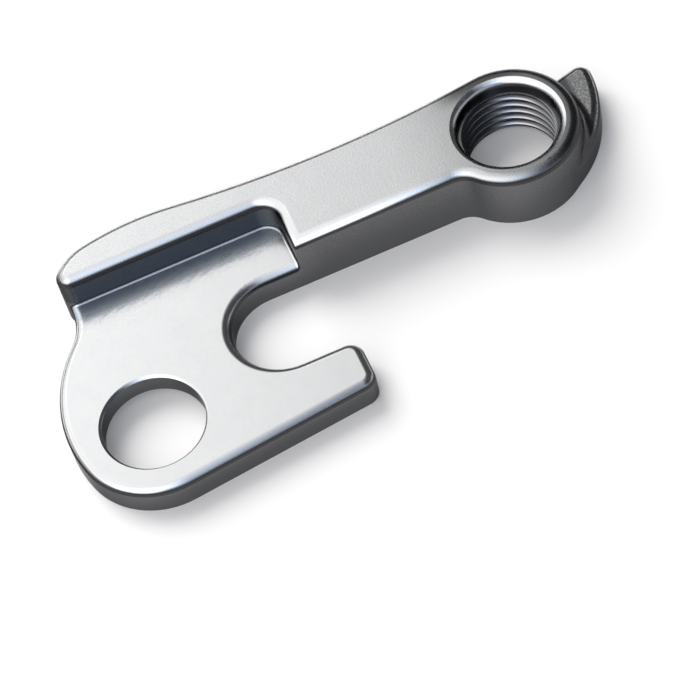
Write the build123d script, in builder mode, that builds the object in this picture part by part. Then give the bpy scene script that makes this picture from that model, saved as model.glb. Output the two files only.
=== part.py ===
from build123d import *
import os
from math import cos, radians, sin, sqrt, tan

# Bicycle derailleur hanger, forged in one piece. The frame's dropout sits on the thin plate, against the
# shoulder of the thick ridge. Z is the frame bolt's axis, with 0 on the face that meets the frame, and the
# arm runs along +X. The whole of the other side is one flat face.

# Thicknesses, in millimetres
arm_thickness = 7.0
plate_thickness = 3.4
lug_thickness = 3.6

# Lobe with the bore and the sunk seat of the frame bolt
bolt_bore_diameter = 10.0
bolt_seat_diameter = 12.6
bolt_seat_depth = 1.2
lobe_wall = 1.5
flank_radius = 14.9
flank_angle = 17.0
waist_radius = 5.3

# Axle slot, open towards the eye, and the prong that closes its lower side
slot_width = 10.1
slot_end_x = 15.0
slot_axis_y = 4.8
prong_tip_x = 20.7
prong_slope = 6.2
prong_tip_radius = 1.5

# Shoulder between the thin plate and the thick ridge and arm
shoulder_y = 16.0
shoulder_x = 18.75
shoulder_corner_radius = 2.0

# Ridge along the back of the plate
ridge_end_x = -3.2
ridge_nose_radius = 1.3
ridge_end_radius = 5.6
ridge_overhang = 0.22
crown_x = 6.1
crown_y = 20.7
crown_radius = 27.5

# Arm and the eye for the derailleur bolt
back_radius = 120.0
neck_radius = 2.5
eye_x = 42.55
eye_y = 13.4
eye_wall = 2.05
thread_diameter = 10.0
thread_pitch = 1.0
eye_relief_depth = 1.25
eye_relief_clearance = 0.05
eye_chamfer_width = 0.6
eye_chamfer_depth = 0.4
eye_back_chamfer = 0.4

# Stop lug for the derailleur's adjusting screw
lug_start_angle = -50.0
lug_flare = 9.0
lug_flank_radius = 12.5
lug_stop_reach = 7.65
lug_stop_rise = 5.53
lug_stop_slope = 15.5
lug_tip_radius = 1.2
lug_edge_radius = 0.9
lug_root_radius = 1.2

# Shallow step on the flat side, where the ridge thins towards its end
step_width = 3.15
step_radius = 15.5
step_depth = 0.4
step_fade_x = 11.0

# Rounded edges
arm_edge_radius = 1.05
shoulder_root_radius = 0.3
plate_edge_radius = 0.9
outer_edge_radius = 0.35
bolt_edge_chamfer = 0.25

# Sizes that follow from those above
lobe_radius = bolt_seat_diameter / 2 + lobe_wall
slot_radius = slot_width / 2
arm_near_y = slot_axis_y + slot_radius
prong_top_y = slot_axis_y - slot_radius
eye_radius = thread_diameter / 2 + eye_wall
metric_minor_factor = 1.0825
thread_minor_diameter = thread_diameter - metric_minor_factor * thread_pitch
plate_end_x = ridge_end_x + ridge_overhang
embed = ridge_nose_radius
flat_side = Plane.XY.offset(-plate_thickness)


def polar(center, radius, angle):
    """The point at an angle, in degrees, on a circle."""
    return center + Vector(radius * cos(radians(angle)), radius * sin(radians(angle)))


def towards(center, target, radius):
    """The point of a circle that lies towards, or with a negative radius away from, a target."""
    return center + (target - center).normalized() * radius


def crossing(center_a, radius_a, center_b, radius_b):
    """The crossing of two circles that lies to the left of the line from the first centre to the second."""
    gap = (center_b - center_a).length
    along = (radius_a**2 - radius_b**2 + gap**2) / (2 * gap)
    across = sqrt(radius_a**2 - along**2)
    direction = (center_b - center_a).normalized()
    return center_a + direction * along + Vector(-direction.Y, direction.X) * across


def upright(center):
    """The plane through a point of the flat side that shows a section, with X across and Z up."""
    return Plane(origin=(center.X, center.Y, -plate_thickness), x_dir=(1, 0, 0), z_dir=(0, -1, 0))


# Centres of the arcs that make the outlines
bolt_center = Vector(0, 0)
eye_center = Vector(eye_x, eye_y)
crown_center = Vector(crown_x, crown_y - crown_radius)
back_center = crossing(crown_center, crown_radius + back_radius, eye_center, eye_radius + back_radius)
nose_center = Vector(ridge_end_x + ridge_nose_radius, shoulder_y + ridge_nose_radius)
ridge_end_center = crossing(
    nose_center, ridge_end_radius - ridge_nose_radius, crown_center, crown_radius - ridge_end_radius
)
neck_drop = eye_y - arm_near_y + neck_radius
neck_center = Vector(eye_x - sqrt((eye_radius + neck_radius) ** 2 - neck_drop**2), arm_near_y - neck_radius)
flank_center = polar(bolt_center, flank_radius - lobe_radius, flank_angle)
waist_x = plate_end_x - waist_radius
waist_rise = sqrt((flank_radius + waist_radius) ** 2 - (waist_x - flank_center.X) ** 2)
waist_center = Vector(waist_x, flank_center.Y + waist_rise)
lug_start = polar(eye_center, eye_radius, lug_start_angle)
lug_flank_center = polar(lug_start, lug_flank_radius, lug_start_angle - lug_flare + 180)

# Thick ridge, arm and eye
with BuildPart() as arm:
    with BuildSketch(flat_side):
        with BuildLine():
            shoulder = Line((nose_center.X, shoulder_y), (shoulder_x - shoulder_corner_radius, shoulder_y))
            corner = TangentArc(
                shoulder @ 1, (shoulder_x, shoulder_y - shoulder_corner_radius), tangent=shoulder % 1
            )
            shoulder_end = Line(corner @ 1, (shoulder_x, arm_near_y))
            near_side = Line(shoulder_end @ 1, (neck_center.X, arm_near_y))
            neck = TangentArc(
                near_side @ 1, towards(eye_center, neck_center, eye_radius), tangent=near_side % 1
            )
            eye = TangentArc(neck @ 1, towards(eye_center, back_center, eye_radius), tangent=neck % 1)
            back = TangentArc(eye @ 1, towards(crown_center, back_center, crown_radius), tangent=eye % 1)
            crown = TangentArc(
                back @ 1, towards(ridge_end_center, crown_center, -ridge_end_radius), tangent=back % 1
            )
            ridge_end = TangentArc(
                crown @ 1, towards(nose_center, ridge_end_center, -ridge_nose_radius), tangent=crown % 1
            )
            TangentArc(ridge_end @ 1, shoulder @ 0, tangent=ridge_end % 1)
        make_face()
    extrude(amount=arm_thickness)
    fillet(arm.faces().sort_by(Axis.Z)[-1].edges(), radius=arm_edge_radius)

# Thin plate with the lobe, the axle slot and the prong, running a little way into the ridge and the arm
with BuildPart() as plate:
    with BuildSketch(flat_side):
        with BuildLine():
            prong_start = polar(bolt_center, lobe_radius, prong_slope - 90)
            prong_rise = (prong_tip_x - prong_start.X) * tan(radians(prong_slope))
            prong = Line(prong_start, (prong_tip_x, prong_start.Y + prong_rise))
            tip = Line(prong @ 1, (prong_tip_x, prong_top_y))
            slot_lower = Line(tip @ 1, (slot_end_x, prong_top_y))
            slot_end = TangentArc(slot_lower @ 1, (slot_end_x, arm_near_y), tangent=slot_lower % 1)
            slot_upper = Line(slot_end @ 1, (shoulder_x + embed, arm_near_y))
            Polyline(
                slot_upper @ 1,
                (shoulder_x + embed, shoulder_y + embed),
                (plate_end_x, shoulder_y + embed),
                (plate_end_x, waist_center.Y),
            )
            waist = TangentArc(
                (plate_end_x, waist_center.Y),
                towards(flank_center, waist_center, flank_radius),
                tangent=(0, -1),
            )
            flank = TangentArc(
                waist @ 1, polar(bolt_center, lobe_radius, flank_angle + 180), tangent=waist % 1
            )
            TangentArc(flank @ 1, prong_start, tangent=flank % 1)
        make_face()
    extrude(amount=plate_thickness)
    prong_corners = plate.edges().filter_by(Axis.Z).filter_by(lambda edge: edge.center().Y < slot_axis_y)
    fillet(prong_corners.group_by(Axis.X)[-1], radius=prong_tip_radius)
    open_edges = plate.faces().sort_by(Axis.Z)[-1].edges().filter_by(
        lambda edge: edge.center().Y < shoulder_y
        and not (edge.center().X > shoulder_x and edge.center().Y > arm_near_y + plate_edge_radius)
    )
    fillet(open_edges, radius=plate_edge_radius)

# Stop lug beside the eye: the round flank runs out of the eye's wall and ends at the stop face
with BuildPart() as lug:
    with BuildSketch(flat_side) as lug_outline:
        with Locations(lug_flank_center):
            Circle(lug_flank_radius)
        with BuildLine():
            lead_in = towards(lug_flank_center, eye_center, lug_flank_radius)
            stop = eye_center + Vector(lug_stop_reach, lug_stop_rise)
            stop_outer = polar(stop, lug_flank_radius, lug_stop_slope)
            stop_inner = polar(stop, -lug_stop_reach, lug_stop_slope)
            Polyline(lead_in, (stop_outer.X, lead_in.Y), stop_outer, stop_inner, close=True)
        make_face(mode=Mode.INTERSECT)
        fillet(lug_outline.vertices(), radius=lug_tip_radius)
    extrude(amount=lug_thickness)
    fillet(lug.edges().group_by(Axis.Z)[-1], radius=lug_edge_radius)

# Wedge that thins the ridge towards its end, outside of the round line of the step
with BuildPart() as step_cut:
    with BuildSketch(upright(bolt_center)):
        with BuildLine():
            wedge_end_x = ridge_end_x - ridge_nose_radius
            wedge_height = step_depth * (step_fade_x - wedge_end_x) / (step_fade_x - ridge_end_x)
            Polyline((step_fade_x, 0), (wedge_end_x, 0), (wedge_end_x, wedge_height), close=True)
        make_face()
    extrude(amount=-crown_y - step_width)
    with Locations((crown_x, crown_y - step_width - step_radius)):
        Cylinder(step_radius, 2 * arm_thickness, mode=Mode.SUBTRACT)

# The whole hanger, with its concave roots, its rounded flat side and its two holes
with BuildPart() as hanger:
    add(arm.part)
    add(lug.part)
    lug_top_z = lug_thickness - plate_thickness
    lug_top_edges = hanger.edges().filter_by_position(Axis.Z, lug_top_z, lug_top_z)
    fillet(lug_top_edges.sort_by_distance(eye_center)[0], radius=lug_root_radius)

    add(plate.part)
    plate_top_lines = hanger.edges().filter_by(GeomType.LINE).filter_by_position(Axis.Z, 0, 0)
    fillet(plate_top_lines.sort_by(Axis.Y)[-1], radius=shoulder_root_radius)
    fillet(hanger.faces().sort_by(Axis.Z)[0].outer_wire().edges(), radius=outer_edge_radius)
    add(step_cut.part, mode=Mode.SUBTRACT)

    # Bore and sunk seat of the frame bolt, both with broken edges
    seat_radius = bolt_seat_diameter / 2
    bore_radius = bolt_bore_diameter / 2
    with BuildSketch(upright(bolt_center)):
        with BuildLine():
            Polyline(
                (0, 0),
                (seat_radius + bolt_edge_chamfer, 0),
                (seat_radius, bolt_edge_chamfer),
                (seat_radius, bolt_seat_depth),
                (bore_radius, bolt_seat_depth),
                (bore_radius, plate_thickness - bolt_edge_chamfer),
                (bore_radius + bolt_edge_chamfer, plate_thickness),
                (0, plate_thickness),
                close=True,
            )
        make_face()
    revolve(axis=Axis.Z, mode=Mode.SUBTRACT)

    # Threaded eye: chamfered mouth, unthreaded relief, bore at the thread's minor diameter
    relief_radius = thread_diameter / 2 + eye_relief_clearance
    minor_radius = thread_minor_diameter / 2
    with BuildSketch(upright(eye_center)):
        with BuildLine():
            Polyline(
                (0, 0),
                (minor_radius + eye_back_chamfer, 0),
                (minor_radius, eye_back_chamfer),
                (minor_radius, arm_thickness - eye_relief_depth),
                (relief_radius, arm_thickness - eye_relief_depth),
                (relief_radius, arm_thickness - eye_chamfer_depth),
                (relief_radius + eye_chamfer_width, arm_thickness),
                (0, arm_thickness),
                close=True,
            )
        make_face()
    revolve(axis=Axis((eye_x, eye_y, 0), (0, 0, 1)), mode=Mode.SUBTRACT)

hanger.part.label = "hanger_body"
os.makedirs("parts", exist_ok=True)
export_step(hanger.part, "parts/hanger_body.step")
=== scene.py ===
import math

import bmesh
import bpy
from mathutils import Matrix, Vector


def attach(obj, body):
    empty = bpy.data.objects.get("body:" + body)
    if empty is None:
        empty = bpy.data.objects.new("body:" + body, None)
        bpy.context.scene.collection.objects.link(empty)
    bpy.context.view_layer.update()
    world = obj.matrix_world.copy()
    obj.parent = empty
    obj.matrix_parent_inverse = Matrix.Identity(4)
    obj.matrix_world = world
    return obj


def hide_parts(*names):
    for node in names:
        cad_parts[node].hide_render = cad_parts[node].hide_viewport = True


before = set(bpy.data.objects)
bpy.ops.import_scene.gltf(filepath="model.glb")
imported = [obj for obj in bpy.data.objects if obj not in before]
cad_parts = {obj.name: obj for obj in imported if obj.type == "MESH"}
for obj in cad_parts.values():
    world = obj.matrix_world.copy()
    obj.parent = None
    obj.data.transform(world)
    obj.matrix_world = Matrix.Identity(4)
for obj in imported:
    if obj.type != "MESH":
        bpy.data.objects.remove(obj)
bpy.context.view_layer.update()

MM = 0.001
WHITE = (1.0, 1.0, 1.0)

# Sizes of the hanger that the scene's own detail has to meet, in millimetres
EYE_X = 42.55
EYE_Y = 13.4
EYE_MOUTH_RADIUS = 5.68
FLAT_SIDE_Z = -3.4
BOLT_SEAT_RADIUS = 6.3
BOLT_SEAT_MARGIN = 0.1
WELD_DISTANCE = 0.002

# The eye's thread, in millimetres, with the angle in degrees at which it starts
THREAD_ROOT_RADIUS = 5.0
THREAD_CREST_RADIUS = 4.5
THREAD_PITCH = 1.0
THREAD_TOP_Z = 2.4
THREAD_START_ANGLE = 210.0
THREAD_STEPS = 96

# Points of one turn's outline: how far up the pitch, and the radius
THREAD_PROFILE = (
    (0.0, THREAD_CREST_RADIUS),
    (0.25, THREAD_CREST_RADIUS),
    (0.5625, THREAD_ROOT_RADIUS),
    (0.6875, THREAD_ROOT_RADIUS),
)

# Limits between flat, rounded and upright faces: angles in degrees, and the upward part of a face's normal
SMOOTH_ANGLE = 25.0
FLAT_ANGLE = 0.5
UPRIGHT_RISE = 0.01
BOLT_HOLE_RISE = 0.05
UNDERSIDE_RISE = -0.95

# Camera of the photograph: place in millimetres, axes in the hanger's frame, focal length in pixels
CAMERA_PLACE = (-3.4211, -154.0559, 224.2941)
CAMERA_RIGHT = (0.9165, -0.3680, -0.1569)
CAMERA_DOWN = (-0.3911, -0.7416, -0.5450)
CAMERA_FOCAL = 2908.9
CAMERA_NEAREST = 0.01
IMAGE_SIZE = 700
SENSOR_WIDTH = 36.0

# Upward part of the normal, from start to end: broad faces, below which the flanks get painted shade, and
# edges that turn off a flank, which get a painted dark line
FACE_RISE = (0.53, 0.74)
EDGE_SHADE_RISE = (0.04, 0.24)

# Zones of the forged finish: each is a product of changes along the hanger's axes. A change is the axis, the
# start and the end in millimetres, and the levels there where they aren't 0 and 1
RAISED = (("Z", 0.1, 1.0),)
LUG_TOP = (("Z", 1.6, 0.9), ("Z", -1.0, -0.4))
# Apart from raised and coarse, these zones mark where shade or a reflection is painted
FORGED_ZONES = {
    "raised": RAISED,
    "coarse": RAISED + (("X", 5.0, 38.0, 0.35, 1.0),),
    "near_eye_shade": RAISED + (("X", 30.0, 50.0),),
    "eye_right": RAISED + (("reach", 5.7, 6.6), ("X", 44.8, 46.8)),
    "eye_back": RAISED + (("X", 36.0, 40.0), ("Y", 17.0, 19.5)),
    "lug_root_shade": LUG_TOP + (("X", 48.0, 48.6),),
    "lug_face": LUG_TOP + (("X", 50.2, 50.9),),
    "ridge_tip_shade": RAISED + (("X", -2.1, -3.2, 0.0, 0.9),),
    "ridge_nose_shade": (("X", 0.5, -2.8), ("Y", 14.0, 15.0), ("Z", -1.5, 2.2)),
    "shoulder": (("X", 19.0, 17.5), ("Y", 14.0, 15.0), ("Y", 17.3, 16.6), ("Z", 0.1, 0.4)),
    "shoulder_root": (("Z", 0.01, 0.04),),
    "shoulder_foot": (("X", 19.3, 17.8), ("feathered", 12.9, 14.8), ("Z", 0.34, 0.14)),
}

# Colours of the forged finish and of the shade and reflections painted into it, in pairs where a texture
# blends them
FACE_TONES = ((0.77, 0.775, 0.78), (0.82, 0.825, 0.83))
FLANK_SHADE_TONES = ((0.154, 0.156, 0.16), (0.178, 0.18, 0.184))
PITTED_AND_SHADED_TONES = ((0.26, 0.265, 0.27), (0.52, 0.525, 0.53))
STREAKED_REFLECTION_TONES = ((0.72, 0.78, 0.86), (0.65, 0.72, 0.81))
NEAR_EYE_SHADE_TONE = (0.24, 0.244, 0.248)
EYE_SHADE_TONE = (0.12, 0.122, 0.125)
LUG_ROOT_SHADE_TONE = (0.14, 0.143, 0.147)
RIDGE_TIP_SHADE_TONE = (0.06, 0.06, 0.068)
RIDGE_NOSE_SHADE_TONE = (0.072, 0.077, 0.086)
SHOULDER_SHADE_TONE = (0.078, 0.081, 0.083)
SHOULDER_ROOT_REFLECTION_TONE = (0.38, 0.41, 0.45)
EDGE_SHADE_TONE = (0.06, 0.061, 0.066)
FLANK_SHADE_GLANCE = (0.42, 0.42, 0.42)

# Textures of the forged finish: features in a metre, and the share of the noise over which each one shows
GRAIN = {"Scale": 4200.0, "Detail": 3.0, "Roughness": 0.6}
CLOUD = {"Scale": 420.0, "Detail": 2.0}
STREAKS = {"Scale": 2600.0, "Detail": 2.0}
FLECK_SCALE = 5200.0
PIT_SHARE = (0.35, 0.65)
STREAK_SHARE = (0.3, 0.7)
FLECK_SHARE = (0.0, 0.9)
STREAK_LENGTH = 4.0
STREAK_ANGLE = 16.0
STREAK_FEATHER = 0.5

# Roughness of plate and arm, with what the shoulder's foot and the flecks add, and the grain's bump
FORGED_ROUGHNESS = (0.22, 0.28)
FOOT_ROUGHNESS = 0.10
FLECK_ROUGHNESS = 0.04
GRAIN_STRENGTH = (0.04, 0.32)
GRAIN_HEIGHT = 0.02

# Zones of the machined finish, given in the same way, among them the thread's grooves and the bore's left and
# right sides, where shade is painted
IN_THREAD = (("Z", THREAD_TOP_Z, THREAD_TOP_Z - 0.05),)
MACHINED_ZONES = {
    "thread": IN_THREAD,
    # Painted shade in the deeper part of the thread's grooves
    "groove_shade": IN_THREAD + (("reach", THREAD_CREST_RADIUS + 0.04, THREAD_CREST_RADIUS + 0.22),),
    # Painted shade at the bore's left and right sides
    "left": (("X", 44.2, 42.6),),
    "right": (("X", 45.6, 47.2, 0.0, 0.75),),
}

# Colours and textures of the machined finish, with the shade painted into it
SLOPED_RISE = (0.25, 0.75)
MOUTH_TONES = ((0.80, 0.80, 0.82), (0.92, 0.92, 0.93))
THREAD_AND_SHADE_TONES = ((0.5, 0.5, 0.52), (0.16, 0.165, 0.165))
GROOVE_SHADE_TONES = ((0.10, 0.10, 0.105), (0.18, 0.18, 0.185))
GROOVE_SHADE_GLANCE = (0.2, 0.2, 0.2)
TURNING_MARKS = {"Scale": 9000.0, "Detail": 2.0}
TURNING_STRENGTH = 0.2
TURNING_HEIGHT = 0.01
STAIN = {"Scale": 900.0, "Detail": 2.0}
STAIN_SHARE = (0.3, 0.7)
MACHINED_ROUGHNESS = (0.18, 0.28)

# Floor, in metres
FLOOR_REACH = 4.0
FLOOR_COLOUR = (0.742, 0.723, 0.708, 1.0)
FLOOR_GLOW = 0.12
FLOOR_TOUCH = 0.1 * MM

# Parts of the studio's light: products of changes along a direction's parts to the right, to the back and up
STUDIO_LIGHT = {
    "overhead": (("up", 0.40, 0.68),),
    "low_left": (("right", -0.10, -0.45), ("up", 0.02, 0.46)),
    "open": (("back", -0.95, -0.80), ("right", -0.04, 0.36, 1.0, 0.04)),
    "base": (("back", -0.60, 0.45, 1.0, 1.12),),
    "far_glow": (("back", 0.58, 0.70), ("up", 0.50, 0.65, 0.0, 0.6), ("right", -0.40, -0.25)),
    "left_glow": (("right", -0.20, -0.55), ("up", 0.55, 0.38, 0.0, 0.3)),
    "front_left": (("right", 0.05, -0.25), ("back", 0.10, -0.30, 0.0, 0.65)),
    "side_fill": (("back", 0.30, 0.05), ("up", 0.40, 0.30, 0.0, 0.40)),
    "front_fill": (("back", -0.60, -0.80), ("up", 0.60, 0.42, 0.0, 0.40)),
    "below": (("up", -0.05, -0.25, 0.0, 0.75),),
}
FILL_LEVEL = 0.06
DARK_LEVEL = 0.02

# Where the studio's light is white, with a cool colour elsewhere
WHITE_LIGHT = (
    ("back", -0.35, 0.45),
    ("up", 0.42, 0.28),
    ("right", -0.15, -0.38),
    ("up", 0.90, 0.98, 0.0, 0.8),
)
COOL_LIGHT = (0.78, 0.90, 1.14)

# Lamp that casts the shadow on the floor, in metres and watts
KEY_PLACE = (-0.29, 0.79, 0.88)
KEY_TARGET = (0.02, 0.005, 0.0)
KEY_SIZE = 0.9
KEY_WATTS = 14.0


def link(obj):
    bpy.context.scene.collection.objects.link(obj)
    return obj


def evaluated_mesh(obj, name):
    graph = bpy.context.evaluated_depsgraph_get()
    mesh = bpy.data.meshes.new_from_object(obj.evaluated_get(graph))
    mesh.name = name
    return mesh


# The rod that cuts the eye's internal thread: rows of points follow the helix, four to a turn
def threaded_rod(low_z, high_z):
    per_turn = len(THREAD_PROFILE)
    turns = math.ceil((high_z - low_z) / THREAD_PITCH)
    top_row = (turns + 1) * per_turn
    rod = bmesh.new()
    columns = []
    for step in range(THREAD_STEPS):
        angle = math.radians(THREAD_START_ANGLE) + 2 * math.pi * step / THREAD_STEPS
        column = []
        for row in range(top_row + 1):
            turn, place = divmod(row, per_turn)
            share, radius = THREAD_PROFILE[place]
            z = low_z + THREAD_PITCH * (turn + share + step / THREAD_STEPS - 1)
            spot = Vector((EYE_X + radius * math.cos(angle), EYE_Y + radius * math.sin(angle), z))
            column.append(rod.verts.new(spot * MM))
        columns.append(column)
    first = columns[0]
    last = columns[-1]
    for left, right in zip(columns, columns[1:]):
        for row in range(top_row):
            rod.faces.new((left[row], right[row], right[row + 1], left[row + 1]))
    for row in range(top_row - per_turn):
        rod.faces.new((last[row], first[row + per_turn], first[row + per_turn + 1], last[row + 1]))
    # The helix leaves a step at each end, and a fan from a point on the axis closes it
    bottom_rim = [column[0] for column in columns] + [first[row] for row in range(per_turn, 0, -1)]
    top_rim = [column[top_row] for column in columns]
    top_rim += [last[row] for row in range(top_row - 1, top_row - per_turn - 1, -1)]
    bottom = rod.verts.new(Vector((EYE_X, EYE_Y, low_z - 2 * THREAD_PITCH)) * MM)
    top = rod.verts.new(Vector((EYE_X, EYE_Y, high_z + THREAD_PITCH)) * MM)
    for one, two in zip(bottom_rim, bottom_rim[1:] + bottom_rim[:1]):
        rod.faces.new((bottom, two, one))
    for one, two in zip(top_rim, top_rim[1:] + top_rim[:1]):
        rod.faces.new((top, one, two))
    bmesh.ops.recalc_face_normals(rod, faces=rod.faces[:])
    mesh = bpy.data.meshes.new("thread_cutter")
    rod.to_mesh(mesh)
    rod.free()
    return link(bpy.data.objects.new("thread_cutter", mesh))


# The hanger as it shows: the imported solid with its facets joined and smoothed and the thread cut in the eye
def hanger_piece(solid):
    shape = bmesh.new()
    shape.from_mesh(solid.data)
    bmesh.ops.remove_doubles(shape, verts=shape.verts[:], dist=WELD_DISTANCE * MM)
    mesh = bpy.data.meshes.new("hanger")
    shape.to_mesh(mesh)
    shape.free()
    piece = link(bpy.data.objects.new("hanger", mesh))
    cutter = threaded_rod(FLAT_SIDE_Z - THREAD_PITCH, THREAD_TOP_Z)
    cut = piece.modifiers.new("thread", "BOOLEAN")
    cut.operation = "DIFFERENCE"
    cut.solver = "EXACT"
    cut.object = cutter
    threaded = evaluated_mesh(piece, "hanger_threaded")
    piece.modifiers.clear()
    piece.data = threaded
    bpy.data.meshes.remove(mesh)
    bpy.data.meshes.remove(cutter.data)
    smooth_shading(piece)
    return piece


# Smooth over the rounded edges, with the flats kept flat, the bolt hole round and the walls upright
def smooth_shading(piece):
    mesh = piece.data
    for polygon in mesh.polygons:
        polygon.use_smooth = True
    mesh.set_sharp_from_angle(angle=math.radians(SMOOTH_ANGLE))
    weighted = piece.modifiers.new("weighted_normals", "WEIGHTED_NORMAL")
    weighted.keep_sharp = True
    weighted.mode = "CORNER_ANGLE"
    smoothed = evaluated_mesh(piece, "hanger_smooth")
    piece.modifiers.clear()
    piece.data = smoothed
    bpy.data.meshes.remove(mesh)
    flat_limit = math.cos(math.radians(FLAT_ANGLE))
    near_limit = math.cos(math.radians(SMOOTH_ANGLE))
    upright_limit = math.sin(math.radians(SMOOTH_ANGLE))
    bolt_hole_limit = (BOLT_SEAT_RADIUS + BOLT_SEAT_MARGIN) * MM
    on_flat = {}
    on_wall = set()
    for polygon in smoothed.polygons:
        rise = polygon.normal.z
        if abs(rise) > flat_limit:
            for corner in polygon.vertices:
                on_flat[corner] = math.copysign(1.0, rise)
        elif abs(rise) < UPRIGHT_RISE:
            on_wall.update(polygon.vertices)
    normals = [corner.vector.copy() for corner in smoothed.corner_normals]
    for polygon in smoothed.polygons:
        rise = polygon.normal.z
        in_bolt_hole = polygon.center.xy.length < bolt_hole_limit and abs(rise) < BOLT_HOLE_RISE
        for corner in polygon.loop_indices:
            vertex = smoothed.loops[corner].vertex_index
            up = on_flat.get(vertex, 0.0)
            if rise * up > near_limit:
                normals[corner] = Vector((0.0, 0.0, up))
            elif in_bolt_hole:
                spot = smoothed.vertices[vertex].co
                normals[corner] = Vector((-spot.x, -spot.y, 0.0)).normalized()
            elif vertex in on_wall and abs(rise) < upright_limit:
                level = normals[corner]
                normals[corner] = Vector((level.x, level.y, 0.0)).normalized()
    smoothed.normals_split_custom_set(normals)


# Short ways to make shader nodes
def node(tree, kind, settings=None, **sockets):
    made = tree.nodes.new(kind)
    for name, value in (settings or {}).items():
        setattr(made, name, value)
    for name, value in sockets.items():
        socket = made.inputs[name.replace("_", " ")]
        if isinstance(value, bpy.types.NodeSocket):
            tree.links.new(value, socket)
        else:
            socket.default_value = value
    return made


def math_of(tree, operation, first, second=None):
    made = tree.nodes.new("ShaderNodeMath")
    made.operation = operation
    for place, value in enumerate((first, second)):
        if isinstance(value, bpy.types.NodeSocket):
            tree.links.new(value, made.inputs[place])
        elif value is not None:
            made.inputs[place].default_value = value
    return made.outputs[0]


def joined(tree, operation, *values):
    result = values[0]
    for value in values[1:]:
        result = math_of(tree, operation, result, value)
    return result


def vector_math(tree, operation, vector, second=None):
    made = node(tree, "ShaderNodeVectorMath", {"operation": operation})
    tree.links.new(vector, made.inputs[0])
    if second is not None:
        made.inputs[1].default_value = second
    return made.outputs


def ramp(tree, value, start, end, low=0.0, high=1.0):
    made = node(tree, "ShaderNodeMapRange", {"interpolation_type": "SMOOTHSTEP"}, Value=value)
    for name, number in (("From Min", start), ("From Max", end), ("To Min", low), ("To Max", high)):
        made.inputs[name].default_value = number
    return made.outputs["Result"]


def blend(tree, share, first, second):
    made = node(tree, "ShaderNodeMix", {"data_type": "RGBA"})
    tree.links.new(share, made.inputs["Factor"])
    colours = [socket for socket in made.inputs if socket.type == "RGBA"]
    for socket, value in zip(colours, (first, second)):
        if isinstance(value, bpy.types.NodeSocket):
            tree.links.new(value, socket)
        else:
            socket.default_value = (*value, 1.0)
    return [socket for socket in made.outputs if socket.type == "RGBA"][0]


# How far inside a zone a place or a direction is: the product of the zone's changes
def inside(tree, axes, changes, unit=1.0):
    shares = []
    for axis, start, end, *levels in changes:
        shares.append(ramp(tree, axes[axis], start * unit, end * unit, *levels))
    return joined(tree, "MULTIPLY", *shares)


# A spot's place along the hanger's axes, and its reach from the eye's axis
def hanger_axes(tree, spot):
    parts = node(tree, "ShaderNodeSeparateXYZ", Vector=spot).outputs
    axes = {axis: parts[axis] for axis in "XYZ"}
    from_eye = vector_math(tree, "SUBTRACT", spot, (EYE_X * MM, EYE_Y * MM, 0.0))[0]
    level = vector_math(tree, "MULTIPLY", from_eye, (1.0, 1.0, 0.0))[0]
    axes["reach"] = vector_math(tree, "LENGTH", level)["Value"]
    return axes


# A metal with its shader, and the spot, the axes and the normal's rise that its finish depends on
def new_metal(name):
    material = bpy.data.materials.new(name)
    material.use_nodes = True
    tree = material.node_tree
    shader = tree.nodes["Principled BSDF"]
    shader.inputs["Metallic"].default_value = 1.0
    places = node(tree, "ShaderNodeTexCoord").outputs
    spot = places["Object"]
    normal = node(tree, "ShaderNodeSeparateXYZ", Vector=places["Normal"])
    rise = math_of(tree, "ABSOLUTE", normal.outputs["Z"])
    return material, tree, shader, spot, hanger_axes(tree, spot), rise
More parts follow.
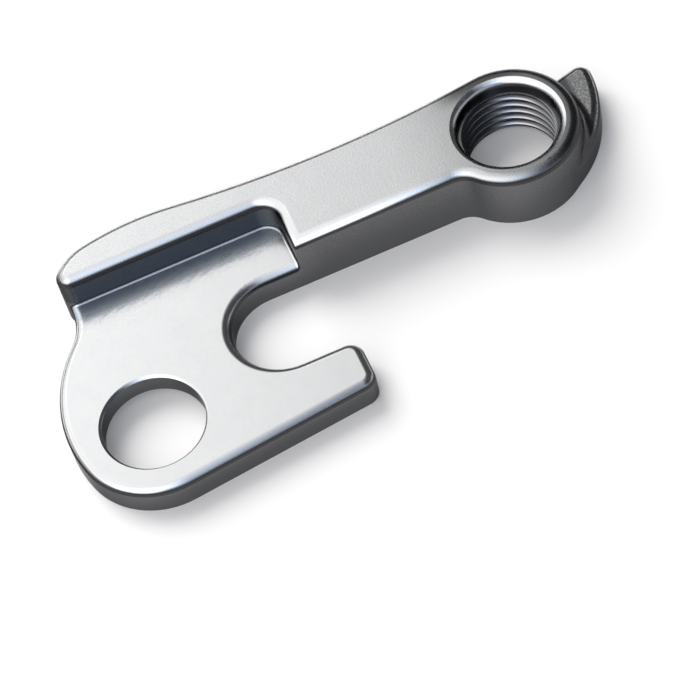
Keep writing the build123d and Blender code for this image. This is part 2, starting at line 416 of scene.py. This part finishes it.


# Forged aluminium: bright on the broad faces, with a fine blasted grain, and shade painted on the flanks and
# in places on the faces, with a painted reflection at the shoulder's foot
def forged_finish():
    material, tree, shader, spot, axes, rise = new_metal("forged_aluminium")
    face = ramp(tree, rise, *FACE_RISE)
    edge_shade = ramp(tree, rise, *EDGE_SHADE_RISE)
    grain = node(tree, "ShaderNodeTexNoise", Vector=spot, **GRAIN).outputs["Fac"]
    cloud = node(tree, "ShaderNodeTexNoise", Vector=spot, **CLOUD).outputs["Fac"]
    fleck = node(tree, "ShaderNodeTexVoronoi", Vector=spot, Scale=FLECK_SCALE).outputs["Distance"]
    slanted = (0.0, 0.0, math.radians(STREAK_ANGLE))
    drawn = node(tree, "ShaderNodeMapping", {"vector_type": "TEXTURE"}, Vector=spot,
                 Scale=(STREAK_LENGTH, 1.0, 1.0), Rotation=slanted)
    streak = node(tree, "ShaderNodeTexNoise", Vector=drawn.outputs["Vector"], **STREAKS).outputs["Fac"]
    streak = ramp(tree, streak, *STREAK_SHARE)
    feather = ramp(tree, streak, 0.0, 1.0, -STREAK_FEATHER * MM, STREAK_FEATHER * MM)
    axes["feathered"] = math_of(tree, "ADD", axes["Y"], feather)
    zones = {name: inside(tree, axes, changes, MM) for name, changes in FORGED_ZONES.items()}
    eye_shade = math_of(tree, "MAXIMUM", zones["eye_right"], zones["eye_back"])
    pitted_and_shaded = blend(tree, ramp(tree, grain, *PIT_SHARE), *PITTED_AND_SHADED_TONES)
    # Painted reflection: a cool, streaked band for the plate at the shoulder's foot, darker and cooler where
    # the root rounds up from the plate
    foot_reflection = blend(tree, streak, *STREAKED_REFLECTION_TONES)
    foot_reflection = blend(tree, zones["shoulder_root"], foot_reflection, SHOULDER_ROOT_REFLECTION_TONE)
    bright = blend(tree, cloud, *FACE_TONES)
    # Painted shade: the faces grow darker towards the eye
    bright = blend(tree, zones["near_eye_shade"], bright, NEAR_EYE_SHADE_TONE)
    bright = blend(tree, eye_shade, bright, EYE_SHADE_TONE)
    # Painted shade in the concave root where the lug meets the eye
    bright = blend(tree, zones["lug_root_shade"], bright, LUG_ROOT_SHADE_TONE)
    # Painted shade on the ridge's left tip
    bright = blend(tree, zones["ridge_tip_shade"], bright, RIDGE_TIP_SHADE_TONE)
    # The lug's face: a real pitted grain, darkened further by painted shade
    bright = blend(tree, zones["lug_face"], bright, pitted_and_shaded)
    # Painted reflection laid on the plate at the shoulder's foot
    bright = blend(tree, zones["shoulder_foot"], bright, foot_reflection)
    # Painted shade: the flanks get a dark colour, varied by the grain
    flank_shade = blend(tree, grain, *FLANK_SHADE_TONES)
    # Painted shade on the ridge's nose
    flank_shade = blend(tree, zones["ridge_nose_shade"], flank_shade, RIDGE_NOSE_SHADE_TONE)
    # Painted shade on the shoulder's wall
    flank_shade = blend(tree, zones["shoulder"], flank_shade, SHOULDER_SHADE_TONE)
    # Painted shade: a dark line where the rounded edges turn down into a flank
    flank_shade = blend(tree, edge_shade, flank_shade, EDGE_SHADE_TONE)
    tree.links.new(blend(tree, face, flank_shade, bright), shader.inputs["Base Color"])
    # Painted shade: a dark specular tint dims the flanks' glancing reflections
    tree.links.new(blend(tree, face, FLANK_SHADE_GLANCE, WHITE), shader.inputs["Specular Tint"])
    base_rough = ramp(tree, zones["raised"], 0.0, 1.0, *FORGED_ROUGHNESS)
    foot_rough = ramp(tree, zones["shoulder_foot"], 0.0, 1.0, 0.0, FOOT_ROUGHNESS)
    fleck_rough = ramp(tree, fleck, *FLECK_SHARE, -FLECK_ROUGHNESS, FLECK_ROUGHNESS)
    tree.links.new(joined(tree, "ADD", base_rough, foot_rough, fleck_rough), shader.inputs["Roughness"])
    strength = ramp(tree, zones["coarse"], 0.0, 1.0, *GRAIN_STRENGTH)
    bump = node(tree, "ShaderNodeBump", Strength=strength, Height=grain, Distance=GRAIN_HEIGHT * MM)
    tree.links.new(bump.outputs["Normal"], shader.inputs["Normal"])
    return material


# Machined aluminium of the eye's mouth and thread: brighter, with fine turning marks round the axis, and
# shade painted on steep faces, in the thread's grooves and at the bore's sides
def machined_finish():
    material, tree, shader, spot, axes, rise = new_metal("machined_aluminium")
    zones = {name: inside(tree, axes, changes, MM) for name, changes in MACHINED_ZONES.items()}
    # Painted shade: steep faces and the thread's grooves get a dark colour and a dark specular tint
    sloped = ramp(tree, rise, *SLOPED_RISE)
    outside_groove = math_of(tree, "SUBTRACT", 1.0, zones["groove_shade"])
    free_of_groove_shade = math_of(tree, "MULTIPLY", sloped, outside_groove)
    # Painted shade at the bore's left and right sides
    painted_bore_shade = math_of(tree, "MAXIMUM", zones["left"], zones["right"])
    marks = node(tree, "ShaderNodeTexNoise", {"noise_dimensions": "1D"}, W=axes["Z"], **TURNING_MARKS)
    stain = node(tree, "ShaderNodeTexNoise", Vector=spot, **STAIN).outputs["Fac"]
    mouth = blend(tree, stain, *MOUTH_TONES)
    thread = blend(tree, painted_bore_shade, *THREAD_AND_SHADE_TONES)
    groove_shade = blend(tree, painted_bore_shade, *GROOVE_SHADE_TONES)
    tone = blend(tree, zones["thread"], mouth, thread)
    tree.links.new(blend(tree, free_of_groove_shade, groove_shade, tone), shader.inputs["Base Color"])
    tree.links.new(blend(tree, free_of_groove_shade, GROOVE_SHADE_GLANCE, WHITE), shader.inputs["Specular Tint"])
    tree.links.new(ramp(tree, stain, *STAIN_SHARE, *MACHINED_ROUGHNESS), shader.inputs["Roughness"])
    bump = node(tree, "ShaderNodeBump", Strength=TURNING_STRENGTH, Height=marks.outputs["Fac"],
                Distance=TURNING_HEIGHT * MM)
    tree.links.new(bump.outputs["Normal"], shader.inputs["Normal"])
    return material


# White floor: it shows white to the eye and in the metal, and keeps the hanger's shadow
def studio_floor():
    low = FLAT_SIDE_Z * MM
    mesh = bpy.data.meshes.new("floor")
    turns = ((-1, -1), (1, -1), (1, 1), (-1, 1))
    corners = [(x * FLOOR_REACH, y * FLOOR_REACH, low) for x, y in turns]
    mesh.from_pydata(corners, [], [(0, 1, 2, 3)])
    floor = link(bpy.data.objects.new("floor", mesh))
    material = bpy.data.materials.new("floor_white")
    material.use_nodes = True
    tree = material.node_tree
    tree.nodes.clear()
    rays = node(tree, "ShaderNodeLightPath").outputs
    seen = joined(tree, "MAXIMUM", rays["Is Camera Ray"], rays["Is Glossy Ray"], rays["Is Transmission Ray"])
    glow = node(tree, "ShaderNodeEmission", Strength=math_of(tree, "MULTIPLY", seen, FLOOR_GLOW))
    matt = node(tree, "ShaderNodeBsdfDiffuse", Color=FLOOR_COLOUR)
    both = tree.nodes.new("ShaderNodeAddShader")
    tree.links.new(matt.outputs[0], both.inputs[0])
    tree.links.new(glow.outputs[0], both.inputs[1])
    # From below, and to the flat side on it, the floor is clear, so that the flat side can be looked at
    clear = node(tree, "ShaderNodeBsdfTransparent")
    touching = math_of(tree, "LESS_THAN", rays["Ray Length"], FLOOR_TOUCH)
    below = node(tree, "ShaderNodeNewGeometry").outputs["Backfacing"]
    sided = node(tree, "ShaderNodeMixShader", Fac=math_of(tree, "MAXIMUM", below, touching))
    tree.links.new(both.outputs[0], sided.inputs[1])
    tree.links.new(clear.outputs[0], sided.inputs[2])
    out = tree.nodes.new("ShaderNodeOutputMaterial")
    tree.links.new(sided.outputs[0], out.inputs["Surface"])
    mesh.materials.append(material)


# The studio: pale overhead and to the back left, cooler in front, dim low down and to the right
def studio_world():
    world = bpy.data.worlds.new("studio")
    bpy.context.scene.world = world
    world.use_nodes = True
    tree = world.node_tree
    light = tree.nodes["Background"]
    aim = node(tree, "ShaderNodeTexCoord").outputs["Generated"]
    parts = node(tree, "ShaderNodeSeparateXYZ", Vector=aim).outputs
    axes = {"right": parts["X"], "back": parts["Y"], "up": parts["Z"]}
    sky = {name: inside(tree, axes, changes) for name, changes in STUDIO_LIGHT.items()}
    white = joined(tree, "MAXIMUM", *[inside(tree, axes, (change,)) for change in WHITE_LIGHT])
    tree.links.new(blend(tree, white, COOL_LIGHT, WHITE), light.inputs["Color"])
    level = joined(tree, "ADD", sky["far_glow"], sky["left_glow"], sky["front_left"], sky["base"])
    bright = math_of(tree, "MAXIMUM", sky["overhead"], sky["low_left"])
    lit = math_of(tree, "ADD", joined(tree, "MULTIPLY", bright, sky["open"], level), DARK_LEVEL)
    fill = math_of(tree, "ADD", math_of(tree, "MAXIMUM", sky["side_fill"], sky["front_fill"]), FILL_LEVEL)
    tree.links.new(joined(tree, "MAXIMUM", lit, fill, sky["below"]), light.inputs["Strength"])


# Lamp for the floor alone: the metal mirrors the studio, not the lamp
def key_lamp():
    data = bpy.data.lights.new("key", "AREA")
    data.shape = "RECTANGLE"
    data.size = KEY_SIZE
    data.size_y = KEY_SIZE
    data.energy = KEY_WATTS
    data.color = WHITE
    lamp = link(bpy.data.objects.new("key", data))
    lamp.location = KEY_PLACE
    lamp.rotation_euler = (Vector(KEY_TARGET) - Vector(KEY_PLACE)).to_track_quat("-Z", "Y").to_euler()
    lamp.visible_camera = False
    lamp.visible_glossy = False


def photo_camera():
    data = bpy.data.cameras.new("photo_camera")
    data.sensor_width = SENSOR_WIDTH
    data.lens = CAMERA_FOCAL * SENSOR_WIDTH / IMAGE_SIZE
    data.clip_start = CAMERA_NEAREST
    camera = link(bpy.data.objects.new("photo_camera", data))
    right = Vector(CAMERA_RIGHT).normalized()
    up = -Vector(CAMERA_DOWN)
    up = (up - right * up.dot(right)).normalized()
    turn = Matrix((right, up, right.cross(up))).transposed()
    camera.matrix_world = Matrix.Translation(Vector(CAMERA_PLACE) * MM) @ turn.to_4x4()
    bpy.context.scene.camera = camera


hanger = hanger_piece(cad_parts["hanger_body"])
hanger.data.materials.clear()
hanger.data.materials.append(forged_finish())
hanger.data.materials.append(machined_finish())
eye_axis = Vector((EYE_X, EYE_Y)) * MM
for polygon in hanger.data.polygons:
    reach = (polygon.center.xy - eye_axis).length
    in_eye = reach < EYE_MOUTH_RADIUS * MM and polygon.normal.z > UNDERSIDE_RISE
    polygon.material_index = 1 if in_eye else 0
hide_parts("hanger_body")
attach(hanger, "root")

studio_floor()
studio_world()
key_lamp()
photo_camera()
bpy.context.scene.view_settings.view_transform = "Standard"
